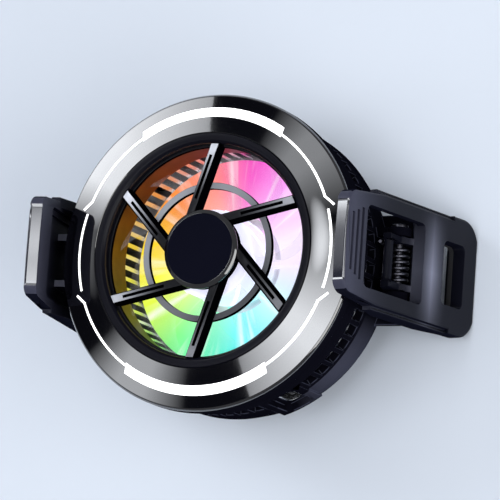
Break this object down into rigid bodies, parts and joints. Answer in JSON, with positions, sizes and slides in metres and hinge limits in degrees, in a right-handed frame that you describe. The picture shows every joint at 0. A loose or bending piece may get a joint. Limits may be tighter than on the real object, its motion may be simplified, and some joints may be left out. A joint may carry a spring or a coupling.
{
  "type": "phone cooling fan",
  "caption": "Round clip-on phone cooler: lit fan behind a spoked grille, side vents, a cold plate at the back and two sprung claws that grip a phone's long edges.",
  "frame": {"origin": "middle of the part's footprint, at the level of the claw tips that it lies on", "axes": "+Z along the fan's axis to the front, +X towards the claw with the open window, +Y along the phone that it grips"},
  "size_m": [0.081, 0.06, 0.043],
  "materials": {
    "gloss_black": "piano gloss",
    "satin_grey": "satin moulded",
    "satin_dark": "satin moulded",
    "lit_white": "diffusing, lit",
    "clear_plastic": "clear moulded",
    "board": "solder mask",
    "ceramic": "fired",
    "foam": "closed-cell",
    "rubber": "matt",
    "aluminium": "brushed",
    "brass": "plain",
    "steel": "bright"
  },
  "bodies": {
    "cooler": {"rear_shell": "gloss_black", "vent_ring": "satin_grey", "front_bezel": "gloss_black", "inner_ring": "gloss_black", "grille": "satin_dark", "hub_cap": "satin_dark", "top_light_guide": "lit_white", "bottom_light_guide": "lit_white", "left_light_guide": "lit_white", "right_light_guide": "lit_white", "led_board": "board", "bezel_leds": "lit_white", "light_plate": "lit_white", "heat_sink": "aluminium", "motor_base": "satin_dark", "motor_board": "board", "glow_leds": "lit_white", "shaft_bearing": "brass", "stator_core": "steel", "stator_coils": "brass", "hot_ceramic": "ceramic", "peltier_pellets": "steel", "cold_ceramic": "ceramic", "insulation_ring": "foam", "cold_plate": "aluminium", "rear_cushion": "rubber", "control_board": "board", "control_chips": "satin_dark", "usb_socket": "steel", "usb_tongue": "satin_dark", "right_hinge_pin": "steel", "left_hinge_pin": "steel", "right_spring": "steel", "left_spring": "steel", "case_screws": "steel", "plate_screws": "steel"},
    "fan": {"fan_rotor": "clear_plastic", "rotor_magnet": "steel", "fan_shaft": "steel", "shaft_clip": "steel"},
    "right_lever": {"right_claw": "satin_dark", "right_jaw_pad": "rubber"},
    "left_lever": {"left_claw": "satin_dark", "left_jaw_pad": "rubber"}
  },
  "joints": [
    {"name": "fan_spin", "type": "hinge", "parent": "cooler", "child": "fan", "pos_m": [0, 0, 0.0256], "axis": [0, 0, 1], "continuous": true},
    {"name": "right_claw_pivot", "type": "hinge", "parent": "cooler", "child": "right_lever", "pos_m": [0.032, 0, 0.0179], "axis": [0, -1, 0], "range_deg": [0, 10], "stiffness_Nm_per_rad": 0.1, "deforming": ["right_spring"]},
    {"name": "left_claw_pivot", "type": "hinge", "parent": "cooler", "child": "left_lever", "pos_m": [-0.032, 0, 0.0179], "axis": [0, 1, 0], "range_deg": [0, 10], "stiffness_Nm_per_rad": 0.1, "deforming": ["left_spring"]}
  ]
}
